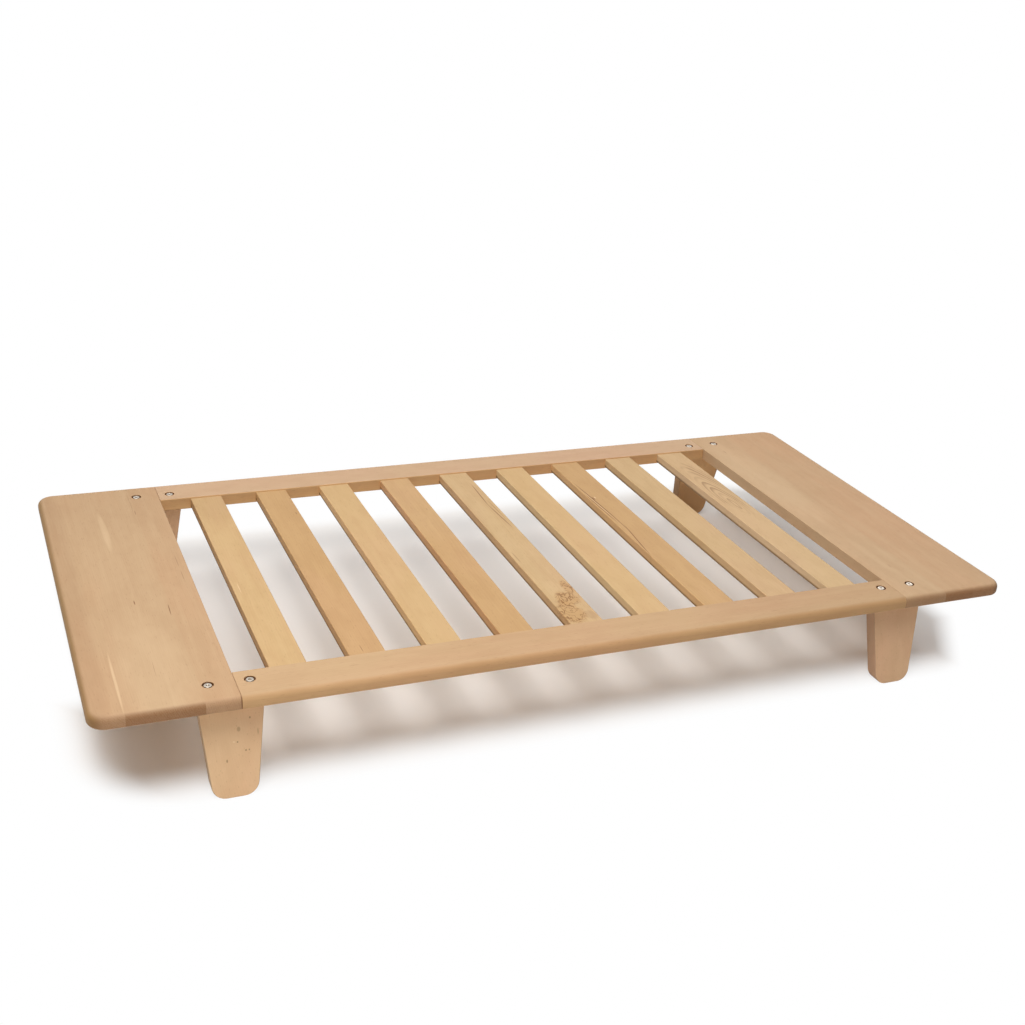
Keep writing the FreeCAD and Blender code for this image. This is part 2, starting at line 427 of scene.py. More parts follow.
def srgb(red: int, green: int, blue: int) -> Colour:
    """A colour written as on a screen, as the linear colour of a shader.

    Args:
        red: from 0 to 255.
        green: likewise.
        blue: likewise.

    Returns:
        The linear colour, opaque.
    """
    screen = np.array([red, green, blue]) / 255.0
    linear = np.where(screen <= 0.04045, screen / 12.92, ((screen + 0.055) / 1.055) ** 2.4)
    return (*linear.tolist(), 1.0)


class Value:
    """What a node gives out. The signs + - * / and abs() add the nodes that work them out."""

    def __init__(self, graph: "Graph", socket: bpy.types.NodeSocket) -> None:
        """Keeps the socket and its graph."""
        self.graph, self.socket = graph, socket

    def math(self, operation: str, other: "Number" = 0.0, clamp: bool = False) -> "Value":
        """One step of arithmetic on this value."""
        return self.graph.value("ShaderNodeMath", {0: self, 1: other}, operation=operation, use_clamp=clamp)

    def __add__(self, other: "Number") -> "Value":
        """The sum."""
        return self.math("ADD", other)

    def __sub__(self, other: "Number") -> "Value":
        """The difference."""
        return self.math("SUBTRACT", other)

    def __mul__(self, other: "Number") -> "Value":
        """The product."""
        return self.math("MULTIPLY", other)

    def __truediv__(self, other: "Number") -> "Value":
        """The quotient."""
        return self.math("DIVIDE", other)

    def __abs__(self) -> "Value":
        """The value without its sign."""
        return self.math("ABSOLUTE")

    def ease(self, low: float, high: float, to_low: float = 0.0, to_high: float = 1.0) -> "Value":
        """Eases from one level to another as this value passes from low to high."""
        inputs = {"Value": self, "From Min": low, "From Max": high, "To Min": to_low, "To Max": to_high}
        return self.graph.value("ShaderNodeMapRange", inputs, interpolation_type="SMOOTHSTEP")


Number = float | Value


@dataclass(frozen=True)
class Swell:
    """A soft noise: its swells per metre across and along the grain, and its character.

    Its fade is the span of the noise over which a layer eases in, and from where to where.
    """

    across: float
    along: float
    shift: float = 0.0
    detail: float = 2.0
    rough: float = 0.5
    warp: float = 0.0
    fade: tuple[float, ...] = (0.0, 1.0)


class Graph:
    """The node tree of a material or the world, with short calls for the nodes in use here."""

    def __init__(self, owner: bpy.types.Material | bpy.types.World) -> None:
        """Empties the owner's node tree."""
        owner.use_nodes = True
        self.owner = owner
        self.tree = owner.node_tree
        self.tree.nodes.clear()

    def add(self, kind: str, inputs: dict | None = None, **settings: object) -> bpy.types.Node:
        """Adds a node.

        Args:
            kind: the node's type.
            inputs: a value or a plain setting for each named or numbered input.
            settings: the node's own properties.

        Returns:
            The node.
        """
        node = self.tree.nodes.new(kind)
        for key, setting in settings.items():
            setattr(node, key, setting)
        for key, given in (inputs or {}).items():
            if isinstance(given, Value):
                self.tree.links.new(given.socket, node.inputs[key])
            else:
                node.inputs[key].default_value = given
        return node

    def value(self, kind: str, inputs: dict | None = None, output: int | str = 0,
              **settings: object) -> Value:
        """Adds a node and returns one of its outputs."""
        return Value(self, self.add(kind, inputs, **settings).outputs[output])

    def vector(self, operation: str, first: Value, second: object = None) -> Value:
        """One step of vector arithmetic.

        Args:
            operation: what is done.
            first: a vector.
            second: another vector or a plain triple, where the step takes two.

        Returns:
            A vector, or a number where the step is a dot product, a distance or a length.
        """
        inputs = {0: first} if second is None else {0: first, 1: second}
        output = int(operation in ("DOT_PRODUCT", "DISTANCE", "LENGTH"))
        return self.value("ShaderNodeVectorMath", inputs, output, operation=operation)

    def split(self, vector: Value) -> list[Value]:
        """The three parts of a vector."""
        node = self.add("ShaderNodeSeparateXYZ", {0: vector})
        return [Value(self, socket) for socket in node.outputs]

    def blend(self, factor: Number, first: Colour | Value, second: Colour | Value,
              mode: str = "MIX") -> Value:
        """Mixes two colours."""
        return self.value("ShaderNodeMix", {0: factor, 6: first, 7: second}, 2, data_type="RGBA",
                          blend_type=mode)

    def mapped(self, vector: Value, scale: tuple[float, float, float], seed: float = 0.0,
               turn: Euler | None = None, centre: Vector | None = None) -> Value:
        """Stretches, turns and moves a pattern's coordinates.

        Args:
            vector: the coordinates.
            scale: the stretch along each axis.
            seed: a shift that gives each piece its own stretch of the pattern.
            turn: a turn about the centre.
            centre: the point that becomes the origin, after the turn.

        Returns:
            The new coordinates.
        """
        turn = turn or Euler((0.0, 0.0, 0.0))
        place = -(turn.to_matrix() @ (centre or Vector((0.0, 0.0, 0.0))))
        place += Vector((3.17 * seed, 1.73 * seed, 5.31 * seed))
        inputs = {"Vector": vector, "Location": place, "Rotation": turn, "Scale": scale}
        return self.value("ShaderNodeMapping", inputs, vector_type="POINT")

    def noise(self, vector: Value, swell: Swell, seed: float = 0.0) -> Value:
        """Soft noise from 0 to 1.

        Args:
            vector: the coordinates.
            swell: how the noise runs.
            seed: the piece's own shift.

        Returns:
            The noise.
        """
        scaled = self.mapped(vector, (swell.across, swell.along, swell.across), seed + swell.shift)
        inputs = {"Vector": scaled, "Scale": 1.0, "Detail": swell.detail, "Roughness": swell.rough,
                  "Distortion": swell.warp}
        return self.value("ShaderNodeTexNoise", inputs)

    def finish(self, shader: Value) -> bpy.types.Material | bpy.types.World:
        """Makes a shader the owner's surface.

        Args:
            shader: the shader.

        Returns:
            The owner.
        """
        world = isinstance(self.owner, bpy.types.World)
        self.add("ShaderNodeOutputWorld" if world else "ShaderNodeOutputMaterial", {"Surface": shader})
        return self.owner


# -------- beech
SWING = Swell(14.0, 5.0)
CLOUDS = Swell(11.0, 3.4, 1.0, 3.0, 0.55, fade=(0.35, 0.7, -0.15, 0.55))
SWIRL = Swell(78.0, 55.0, 3.0, 2.0, 0.6, 1.4, fade=(0.055, 0.01))
RAGGED = Swell(90.0, 30.0, 4.0)
BANDS = Swell(70.0, 1.5, 5.0, 3.0, 0.6, fade=(0.42, 0.72, 0.0, 0.22))
FIBRE = Swell(1500.0, 22.0, 6.0, 3.0, 0.65, fade=(0.48, 0.75, 0.0, 0.11))
MOTTLE = Swell(42.0, 15.0, 8.0, 3.0, 0.6, fade=(0.4, 0.65, 0.0, 0.12))
PORES = Swell(900.0, 900.0, 0.0, 2.0, 0.6, fade=(0.45, 0.7, 0.0, 0.25))
RAY_SCALE = (300.0, 52.0, 300.0)
RAY_SHIFT = 7.0
RAY_FADE = (0.2, 0.09)
RAY_STRENGTH = 0.16
RING_WANDER = 0.011
STAVE_SHIFT = 0.0437
RAGGED_REACH = 1.4
BURL_GROUND = 0.55
END_GRAIN_FADE = (0.28, 1.0)
END_RING_STRENGTH = 0.12
BORE_SHADE = 0.8
LACQUER_ROUGHNESS = (0.52, 0.66)

# Flecks, figure lines and dark marks; some broad dark marks are painted shade.
FLECK_AND_SHADE_BROWN = srgb(116, 72, 40)
# Painted shade in the counterbores, and the joints' dark lines.
BORE_SHADE_AND_JOINT_BROWN = srgb(116, 78, 48)
BURL_GOLD = srgb(178, 130, 74)
# Painted shade along the lower edge of side faces.
LOW_EDGE_SHADE_BROWN = srgb(104, 70, 38)
# Pale streaks and marks; a broad pale mark on the front rail is painted light.
STREAK_AND_LIGHT_CREAM = srgb(247, 219, 178)
END_BROWN = srgb(142, 100, 66)
PLAIN = (1.0, 1.0, 1.0, 1.0)


class Grain(Enum):
    """The way that a piece's fibres run."""

    ALONG_BED = "along the bed"
    ACROSS_BED = "across the bed"
    DOWN_LEG = "down the leg"


class FigureKind(Enum):
    """What shows in a patch of livelier grain."""

    ARCHES = "cathedral arches"
    BURL = "swirls round a knot"


@dataclass(frozen=True)
class Tone:
    """The colours of one cut of beech, from 0 to 255."""

    body: tuple[int, int, int]
    warm: tuple[int, int, int]
    pale: tuple[int, int, int]
    late: tuple[int, int, int]


@dataclass(frozen=True)
class Rings:
    """Growth rings, as circles about the heart of the tree.

    The heart lies at (heart_across, heart_depth) from the piece's middle and drifts away along
    the grain by the tilts.
    """

    spacing: float = 0.0026
    heart_across: float = 0.21
    heart_depth: float = -0.09
    tilt_across: float = 0.015
    tilt_depth: float = 0.03
    strength: float = 0.22


@dataclass(frozen=True)
class Mark:
    """A single fleck, hairline or streak, or a broad soft patch, at a place measured from the piece's
    middle. Some broad patches are painted light (pale) and painted shade (dark).

    It drifts across by its slope for each metre along, and swings by up to half its wander.
    """

    across: float
    along: float
    length: float
    width: float
    strength: float = 0.7
    pale: bool = False
    wander: float = 0.0
    slope: float = 0.0


@dataclass(frozen=True)
class Figure:
    """An oval patch of livelier grain, at a place measured from the piece's middle."""

    kind: FigureKind
    across: float
    along: float
    half_width: float
    half_length: float
    strength: float = 0.6
    rings: Rings = Rings()


@dataclass(frozen=True)
class Staves:
    """The strips that an edge-glued board is made of.

    Seams are measured across the grain from the board's middle. Each other tuple has one value
    for each stave: how warm it is, how pale, and how dark its end grain.
    """

    seams: tuple[float, ...] = ()
    warm: tuple[float, ...] = (0.0,)
    pale: tuple[float, ...] = (0.0,)
    end_dark: tuple[float, ...] = (0.35,)


@dataclass(frozen=True)
class Wood:
    """The coordinates of one piece's material.

    Place and normal are in the bed's frame. Local is the piece's own, along its fibres, and
    across, along and depth are its parts. Swing is a slow noise about 0, and wander is the
    small distance by which rings swing.
    """

    graph: Graph
    place: Value
    normal: Value
    local: Value
    across: Value
    along: Value
    depth: Value
    swing: Value
    wander: Value

    def oval(self, across: Value, along: Value, half_width: float, half_length: float) -> Value:
        """(across / half width)^2 + (along / half length)^2, which is 1 on the oval's rim."""
        across, along = across / half_width, along / half_length
        return across * across + along * along


@dataclass(frozen=True)
class BeechFinish:
    """Clear matt lacquer on beech, with the figure of one piece.

    The side tint is painted light and shade: it makes the long side faces, or only those that look
    to `side`, lighter or darker as light falls on them. The low edge is painted shade that browns
    their lower edge over the depths of its reach. The bore is |x| and |y| of the bolts' holes, and
    joint_x is |x| of the joints' grooves.
    """

    name: str
    tone: Tone
    grain: Grain
    seed: float
    rings: Rings = Rings()
    staves: Staves = Staves()
    marks: tuple[Mark, ...] = ()
    figures: tuple[Figure, ...] = ()
    lean: float = 0.0
    side_shading: Colour = PLAIN
    side: Vector | None = None
    low_edge_shade: float = 0.0
    low_shade_reach: tuple[float, float] = (-0.0015, -0.0055)
    bore: Vector | None = None
    bore_radius: float = 0.0077
    joint_x: float = 0.512
    joint_reach: float = 0.0011

    def turn(self) -> Euler:
        """The turn that brings the fibres along +Y and the piece's thickness along Z.

        Returns:
            The turn from the bed's frame.
        """
        if self.grain is Grain.ALONG_BED:
            return Euler((0.0, 0.0, math.pi / 2.0))
        if self.grain is Grain.DOWN_LEG:
            return Euler((self.lean - math.pi / 2.0, 0.0, 0.0))
        return Euler((0.0, 0.0, 0.0))

    def bed_direction(self, local: tuple[float, float, float]) -> Vector:
        """A direction of the piece's own, in the bed's frame."""
        return self.turn().to_matrix().inverted() @ Vector(local)

    def per_stave(self, steps: list[Value], values: tuple[float, ...]) -> Number:
        """A value that changes from stave to stave.

        Args:
            steps: for each seam, 1 past it and 0 before it.
            values: one value for each stave.

        Returns:
            The value, which is a plain number on a board of one stave.
        """
        total: Number = values[0]
        for step, before, after in zip(steps, values[:-1], values[1:]):
            total = step * (after - before) + total
        return total

    def ring_lines(self, wood: Wood, rings: Rings) -> Value:
        """Latewood lines: the fraction of distance from the heart / spacing, sharpened.

        Args:
            wood: the piece's coordinates.
            rings: their heart and spacing.

        Returns:
            A value that is 1 on the dark lines.
        """
        side = wood.across + (wood.along * rings.tilt_across - rings.heart_across) + wood.wander
        rise = wood.depth + (wood.along * rings.tilt_depth - rings.heart_depth)
        count = (side * side + rise * rise).math("SQRT") / rings.spacing
        share = count.math("FRACT")
        year = wood.graph.value("ShaderNodeTexWhiteNoise", {"W": count.math("FLOOR")},
                                noise_dimensions="1D")
        return share.ease(0.25, 0.9) * share.ease(1.0, 0.93) * year.ease(0.0, 1.0, 0.35, 1.0)

    def mark_mask(self, wood: Wood, mark: Mark) -> Value:
        """How strongly a mark shows: an oval whose edge fades.

        Args:
            wood: the piece's coordinates.
            mark: the mark.

        Returns:
            A value from 0 to the mark's strength.
        """
        across, along = wood.across - mark.across, wood.along - mark.along
        if mark.slope:
            across = across - along * mark.slope
        if mark.wander:
            across = across + wood.swing * mark.wander
        far = wood.oval(across, along, mark.width / 2.0, mark.length / 2.0)
        return far.ease(1.0, 0.15, 0.0, mark.strength)

    def figured(self, wood: Wood, figure: Figure, colour: Value) -> Value:
        """Lays a lively patch on the colour, fading towards its ragged rim.

        A burl has a golden ground, and its lines run where a warped noise nears one half.

        Args:
            wood: the piece's coordinates.
            figure: the patch.
            colour: the wood's colour.

        Returns:
            The colour with the patch.
        """
        graph = wood.graph
        far = wood.oval(wood.across - figure.across, wood.along - figure.along,
                        figure.half_width, figure.half_length)
        far = far + (graph.noise(wood.local, RAGGED, self.seed) - 0.5) * RAGGED_REACH
        inside = far.ease(1.1, 0.3, 0.0, figure.strength)
        if figure.kind is FigureKind.ARCHES:
            lines = self.ring_lines(wood, figure.rings)
        else:
            lines = abs(graph.noise(wood.local, SWIRL, self.seed) - 0.5).ease(*SWIRL.fade)
            colour = graph.blend(inside * BURL_GROUND, colour, BURL_GOLD)
        return graph.blend(lines * inside, colour, FLECK_AND_SHADE_BROWN)

    def tinted(self, wood: Wood, colour: Value) -> Value:
        """Paints light and shade on the long side faces as a tint, and paints shade along their lower edge.

        Args:
            wood: the piece's coordinates.
            colour: the wood's colour.

        Returns:
            The colour, with painted light and shade where the surface faces across the fibres, or only to
            one side.
        """
        facing = wood.graph.vector("DOT_PRODUCT", wood.normal,
                                   self.side or self.bed_direction((1.0, 0.0, 0.0)))
        facing = facing if self.side else abs(facing)
        # Painted light and shade: the side faces are tinted lighter or darker as light falls on them.
        tinted = wood.graph.blend(1.0, colour, self.side_shading, "MULTIPLY")
        if self.low_edge_shade:
            # Painted shade along the lower edge of the side faces.
            low = wood.depth.ease(*self.low_shade_reach, 0.0, self.low_edge_shade)
            tinted = wood.graph.blend(low, tinted, LOW_EDGE_SHADE_BROWN)
        return wood.graph.blend(facing.ease(0.15, 0.8), colour, tinted)

    def shaded_bores_and_dark_joints(self, wood: Wood, colour: Value) -> Value:
        """Paints shade on the walls of the bolts' counterbores and darkens the joints' fine grooves.

        The bed is alike at all four corners, so both are found from |x| and |y|. The grooves
        are darker at the left end and on the rounded edges.

        Args:
            wood: the piece's coordinates.
            colour: the wood's colour.

        Returns:
            The colour with both.
        """
        graph = wood.graph
        mirrored = graph.vector("ABSOLUTE", wood.place)
        radius = graph.vector("DISTANCE", graph.vector("MULTIPLY", mirrored, (1.0, 1.0, 0.0)), self.bore)
        # Painted shade in each counterbore, strongest on its walls and faint on its seat.
        inside = radius.ease(self.bore_radius + 0.0002, self.bore_radius, 0.0, BORE_SHADE)
        front, rise = graph.split(wood.normal)[1:]
        colour = graph.blend(inside * rise.ease(0.9, 0.5, 0.1, 1.0), colour, BORE_SHADE_AND_JOINT_BROWN)
        groove = abs(graph.split(mirrored)[0] - self.joint_x).ease(self.joint_reach, 0.3 * self.joint_reach)
        left = graph.split(wood.place)[0].ease(0.1, -0.1, 0.3, 0.9)
        return graph.blend(groove * left * abs(front).ease(0.1, 0.7, 0.1, 1.0), colour, BORE_SHADE_AND_JOINT_BROWN)

    def material(self, centre: Vector) -> bpy.types.Material:
        """Builds the finish.

        Args:
            centre: the piece's middle, from which its marks are measured.

        Returns:
            The material.
        """
        graph = Graph(bpy.data.materials.new(self.name))
        place, normal = (graph.value("ShaderNodeTexCoord", output=name) for name in ("Object", "Normal"))
        local = graph.mapped(place, (1.0, 1.0, 1.0), 0.0, self.turn(), centre)
        across, along, depth = graph.split(local)
        seams = [across.math("GREATER_THAN", seam) for seam in self.staves.seams]
        swing = graph.noise(local, SWING, self.seed) - 0.5
        wander = swing * RING_WANDER
        for seam in seams:
            wander = wander + seam * STAVE_SHIFT
        wood = Wood(graph, place, normal, local, across, along, depth, swing, wander)
        ringed = self.ring_lines(wood, self.rings)

        clouds, mottle, bands, fibre, pores = (
            graph.noise(local, swell, self.seed) for swell in (CLOUDS, MOTTLE, BANDS, FIBRE, PORES)
        )
        dots = {"Vector": graph.mapped(local, RAY_SCALE, self.seed + RAY_SHIFT), "Scale": 1.0}
        ray = graph.value("ShaderNodeTexVoronoi", dots, feature="F1").ease(*RAY_FADE)
        warm = clouds.ease(*CLOUDS.fade).math("ADD", self.per_stave(seams, self.staves.warm), True)
        pale = bands.ease(*BANDS.fade).math("ADD", self.per_stave(seams, self.staves.pale), True)
        late = srgb(*self.tone.late)
        colour = srgb(*self.tone.body)
        for mask, over in (
            (warm, srgb(*self.tone.warm)),
            (pale, srgb(*self.tone.pale)),
            (ringed * self.rings.strength, late),
            (mottle.ease(*MOTTLE.fade), late),
            (fibre.ease(*FIBRE.fade), late),
            (ray * RAY_STRENGTH, FLECK_AND_SHADE_BROWN),
        ):
            colour = graph.blend(mask, colour, over)
        for figure in self.figures:
            colour = self.figured(wood, figure, colour)
        # Marks: flecks, hairlines and streaks, and broad patches, some of which are painted light and
        # shade.
        for mark in self.marks:
            over = STREAK_AND_LIGHT_CREAM if mark.pale else FLECK_AND_SHADE_BROWN
            colour = graph.blend(self.mark_mask(wood, mark), colour, over)

        end = abs(graph.vector("DOT_PRODUCT", normal, self.bed_direction((0.0, 1.0, 0.0))))
        dark = ringed * END_RING_STRENGTH + pores.ease(*PORES.fade)
        dark = dark.math("ADD", self.per_stave(seams, self.staves.end_dark), True)
        colour = graph.blend(end.ease(*END_GRAIN_FADE) * dark, colour, END_BROWN)
        if self.bore:
            colour = self.shaded_bores_and_dark_joints(wood, colour)
        # Painted light and shade on the long side faces.
        if self.side_shading != PLAIN:
            colour = self.tinted(wood, colour)

        height = fibre * 0.5 - ray * 0.3 - ringed * 0.2
        bump = graph.value("ShaderNodeBump", {"Strength": 0.25, "Distance": 0.00025, "Height": height})
        return graph.finish(graph.value("ShaderNodeBsdfPrincipled", {
            "Base Color": colour,
            "Roughness": fibre.ease(0.2, 0.8, *LACQUER_ROUGHNESS),
            "Specular IOR Level": 0.15,
            "Normal": bump,
        }))


BOARD_BEECH = Tone((190, 157, 121), (193, 154, 118), (203, 172, 136), (160, 122, 86))
RAIL_BEECH = Tone((192, 158, 120), (195, 155, 120), (203, 171, 132), (162, 122, 84))
ROSY_RAIL = Tone((198, 165, 132), (201, 162, 132), (208, 177, 144), (168, 128, 96))
PALE_SLAT = Tone((202, 168, 122), (202, 164, 123), (210, 181, 134), (170, 128, 82))
AMBER_SLAT = Tone((193, 155, 109), (196, 155, 114), (203, 166, 120), (156, 114, 72))
OLIVE_SLAT = Tone((199, 167, 124), (200, 164, 126), (208, 180, 138), (158, 120, 76))
# The legs' tones are much paler than the frame's beech: the paleness is painted light on the legs' faces.
LEG_BEECH = Tone((225, 186, 147), (227, 182, 146), (234, 200, 160), (190, 144, 106))
PALE_LEG = Tone((231, 194, 152), (233, 191, 151), (238, 204, 163), (196, 148, 106))
GOLDEN_LEG = Tone((230, 187, 136), (231, 183, 134), (236, 198, 146), (180, 134, 88))


# -------- metal
@dataclass(frozen=True)
class SteelFinish:
    """Zinc-plated steel: a grey metal, faintly mottled with a duller grey."""

    name: str
    colour: Colour = srgb(196, 186, 174)
    dull: Colour = srgb(142, 132, 120)
    roughness: float = 0.32
    cloud: Swell = Swell(700.0, 700.0, 0.0, 3.0, 0.6, fade=(0.4, 0.75))
    fine: Swell = Swell(4200.0, 4200.0)

    def material(self) -> bpy.types.Material:
        """Builds the finish.

        Returns:
            The material.
        """
        graph = Graph(bpy.data.materials.new(self.name))
        place = graph.value("ShaderNodeTexCoord", output="Object")
        cloud, fine = graph.noise(place, self.cloud), graph.noise(place, self.fine)
        bump = graph.value("ShaderNodeBump", {"Strength": 0.2, "Distance": 0.00003, "Height": fine})
        return graph.finish(graph.value("ShaderNodeBsdfPrincipled", {
            "Base Color": graph.blend(cloud.ease(*self.cloud.fade), self.colour, self.dull),
            "Metallic": 1.0,
            "Roughness": fine * 0.12 + self.roughness,
            "Normal": bump,
        }))


# -------- sub-assemblies
X_AXIS, Y_AXIS, Z_AXIS = np.eye(3)
PAST = 0.001


@dataclass
class Dresser:
    """Puts a finished piece in place of a CAD node, on the bed's one body."""

    made: int = 0

    def stand_in(self, piece: bpy.types.Object, material: bpy.types.Material, node: str) -> None:
        """Gives a piece its material and lets it stand for a CAD node.

        Args:
            piece: the finished object.
            material: its material.
            node: the CAD node that it replaces.
        """
        piece.data.materials.clear()
        piece.data.materials.append(material)
        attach(piece, BODY)
        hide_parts(node)
        self.made += 1
        log.info("%s: %d faces", piece.name, len(piece.data.polygons))

    def repaint(self, node: str, material: bpy.types.Material) -> None:
        """Gives a CAD node a better material and leaves its shape.

        Args:
            node: the CAD node.
            material: its new material.
        """
        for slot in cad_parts[node].material_slots:
            slot.material = material
        self.made += 1
        log.info("%s: repainted", node)


def middle(node: str) -> Vector:
    """The middle of a CAD node's box."""
    low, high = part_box(node)
    return (low + high) / 2.0


@dataclass(frozen=True)
class Bores:
    """The holes that a leg bolt and two dowels need in a board at one of the frame's corners."""

    bolt_hole_radius: float = 0.00325
    counterbore_radius: float = 0.0075
    lip: float = 0.0004
    counterbore_depth: float = 0.0045
    dowel_radius: float = 0.0041
    dowel_slack: float = 0.001

    def for_bolt(self, corner: str, left_bolt: bool, under: float, top: float) -> Skin:
        """A clearance hole, a counterbore and its small countersunk lip.

        Args:
            corner: the corner's name.
            left_bolt: whether it is for the corner's left bolt.
            under: height of the board's underside.
            top: height of its top.

        Returns:
            A closed skin to cut with.
        """
        low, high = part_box("bolts_" + corner)
        head = (high.y - low.y) / 2.0
        x = low.x + head if left_bolt else high.x - head
        bore, seat = self.counterbore_radius, top - self.counterbore_depth
        wide = bore + self.lip
        rows = [(0.0, under - PAST), (self.bolt_hole_radius, under - PAST), (self.bolt_hole_radius, seat),
                (bore, seat), (bore, top - self.lip), (wide, top), (wide, top + PAST), (0.0, top + PAST)]
        return turned_hole(rows, (x, low.y + head, 0.0), 64)

    def for_dowels(self, corner: str) -> list[Skin]:
        """The cutters of a corner's two dowel holes, which run along the bed.

        Args:
            corner: the corner's name.

        Returns:
            Closed skins to cut with.
        """
        low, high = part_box("dowels_" + corner)
        radius = (high.z - low.z) / 2.0
        length = high.x - low.x + 2.0 * self.dowel_slack
        rows = [(0.0, 0.0), (self.dowel_radius, 0.0), (self.dowel_radius, length), (0.0, length)]
        return [turned_hole(rows, (low.x - self.dowel_slack, y, (low.z + high.z) / 2.0), 32, lying=True)
                for y in (low.y + radius, high.y - radius)]


@dataclass
class Piece:
    """A piece that is built anew and stands for the CAD node named after its kind and place."""

    place: str
    finish: BeechFinish | SteelFinish
    kind: ClassVar[str]
    slot: ClassVar[str] = "frame_beech"

    @property
    def node(self) -> str:
        """The CAD node's name."""
        return f"{self.kind}_{self.place}"

    def mesh(self) -> bpy.types.Object:
        """Builds the piece."""
        raise NotImplementedError

    def paint(self) -> bpy.types.Material:
        """Builds the piece's finish."""
        return self.finish.material(middle(self.node))

    def dress(self, dresser: Dresser) -> None:
        """Builds the piece and gives it its finish."""
        dresser.stand_in(self.mesh(), self.paint(), self.node)


@dataclass
class Slat(Piece):
    """One slat, shouldered between the rails, with a tenon at each end."""

    kind = "slat"
    slot = "slat_beech"
    arris: float = 0.0015
    tenon_shoulder: float = 0.006
    tenon_thickness: float = 0.008
    tenon_length: float = 0.02

    def tenon_box(self) -> tuple[tuple[float, float], tuple[float, float]]:
        """The tenon's reach, seen along the slat.

        Returns:
            Its lowest and its highest x and z.
        """
        low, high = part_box(self.node)
        level = (low.z + high.z) / 2.0
        half = self.tenon_thickness / 2.0
        return (low.x + self.tenon_shoulder, level - half), (high.x - self.tenon_shoulder, level + half)

    def mesh(self) -> bpy.types.Object:
        """Builds the slat: its section steps in at each shoulder and runs on as the tenon.

        Returns:
            The slat.
        """
        low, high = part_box(self.node)
        width, thickness, reach = high.x - low.x, high.z - low.z, (high.y - low.y) / 2.0
        section = bar_section(width, thickness, (self.arris,) * 4, 6)
        shoulder = reach - self.tenon_length
        stations = np.concatenate([[-reach, -shoulder], np.linspace(-shoulder, shoulder, 34),
                                   [shoulder, reach]])
        scales = np.ones((len(stations), 2))
        scales[[0, 1, -2, -1]] = (1.0 - 2.0 * self.tenon_shoulder / width, self.tenon_thickness / thickness)
        placing = Placing(np.array(middle(self.node)), Y_AXIS, X_AXIS, Z_AXIS)
        return loft(section, stations, scales, np.zeros(len(stations)), placing).build(self.node + "_wood")


@dataclass
class EndBoard(Piece):
    """One wide board across an end of the bed, rounded over along its three free sides."""

    kind = "end_board"
    corner_radius: float = 0.024
    top_radius: float = 0.009
    bottom_radius: float = 0.006
    joint_arris: float = 0.001
    face_margin: float = 0.013
    bores: Bores = Bores()

    def mesh(self) -> bpy.types.Object:
        """Builds the board: its edge profile carried round a tongue that is open at the joint.

        Returns:
            The board.
        """
        low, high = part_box(self.node)
        left = self.place == "left"
        half = (high.y - low.y) / 2.0
        outline = Tongue(high.x - low.x, half, half, self.corner_radius, 14, 14, 48)
        profile = edge_profile(high.z - low.z, self.top_radius, self.bottom_radius, self.face_margin, 10)
        placing = Placing(np.array([high.x if left else low.x, 0.0, low.z]),
                          -X_AXIS if left else X_AXIS, -Y_AXIS, Z_AXIS)
        board = tongue_board(outline, profile, self.joint_arris, placing).build(self.node + "_wood")
        cutters = []
        for corner in (f"front_{self.place}", f"back_{self.place}"):
            cutters.append(self.bores.for_bolt(corner, left, low.z, high.z))
            cutters += self.bores.for_dowels(corner)
        drill(board, cutters)
        return board


@dataclass
class SideRail(Piece):
    """One slim rail between the end boards, mortised for the slats."""

    kind = "rail"
    slats: list[Slat] = field(default_factory=list)
    top_radius: float = 0.009
    bottom_radius: float = 0.006
    inner_arris: float = 0.0015
    end_arris: float = 0.001
    mortise_slack: float = 0.0001
    mortise_end_slack: float = 0.001
    bores: Bores = Bores()

    def mesh(self) -> bpy.types.Object:
        """Builds the rail: its section carried between two arrised ends.

        Returns:
            The rail.
        """
        low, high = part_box(self.node)
        length = high.x - low.x
        radii = (self.top_radius, self.inner_arris, self.inner_arris, self.bottom_radius)
        section = bar_section(high.y - low.y, high.z - low.z, radii, 10)
        turn = quarter_turn(ARRIS_STEPS)
        arris_run = self.end_arris * (1.0 - np.cos(turn))
        arris_in = self.end_arris * (1.0 - np.sin(turn))
        body = np.linspace(self.end_arris, length - self.end_arris, 42)[1:-1]
        stations = np.concatenate([arris_run, body, length - arris_run[::-1]])
        shrinks = np.concatenate([arris_in, np.zeros(len(body)), arris_in[::-1]])
        outer = -1.0 if self.place == "front" else 1.0
        centre = np.array([low.x, (low.y + high.y) / 2.0, (low.z + high.z) / 2.0])
        placing = Placing(centre, X_AXIS, outer * Y_AXIS, Z_AXIS)
        rail = loft(section, stations, np.ones((len(stations), 2)), shrinks, placing)
        rail = rail.build(self.node + "_wood")
        cutters = [self.mortise(slat, high.y if outer < 0 else low.y, outer) for slat in self.slats]
        for end in ("left", "right"):
            corner = f"{self.place}_{end}"
            cutters.append(self.bores.for_bolt(corner, end == "right", low.z, high.z))
            cutters += self.bores.for_dowels(corner)
        drill(rail, cutters)
        return rail

    def mortise(self, slat: Slat, inner_y: float, outer: float) -> Skin:
        """The cutter of one slat's mortise.

        Args:
            slat: the slat that it takes.
            inner_y: the rail's inner face.
            outer: the direction of the rail's outer side.

        Returns:
            A closed skin to cut with.
        """
        low, high = slat.tenon_box()
        deep = inner_y + outer * (slat.tenon_length + self.mortise_end_slack)
        y_low, y_high = sorted((inner_y - outer * PAST, deep))
        slack = self.mortise_slack
        return slot_hole(Vector((low[0] - slack, y_low, low[1] - slack)),
                         Vector((high[0] + slack, y_high, high[1] + slack)))


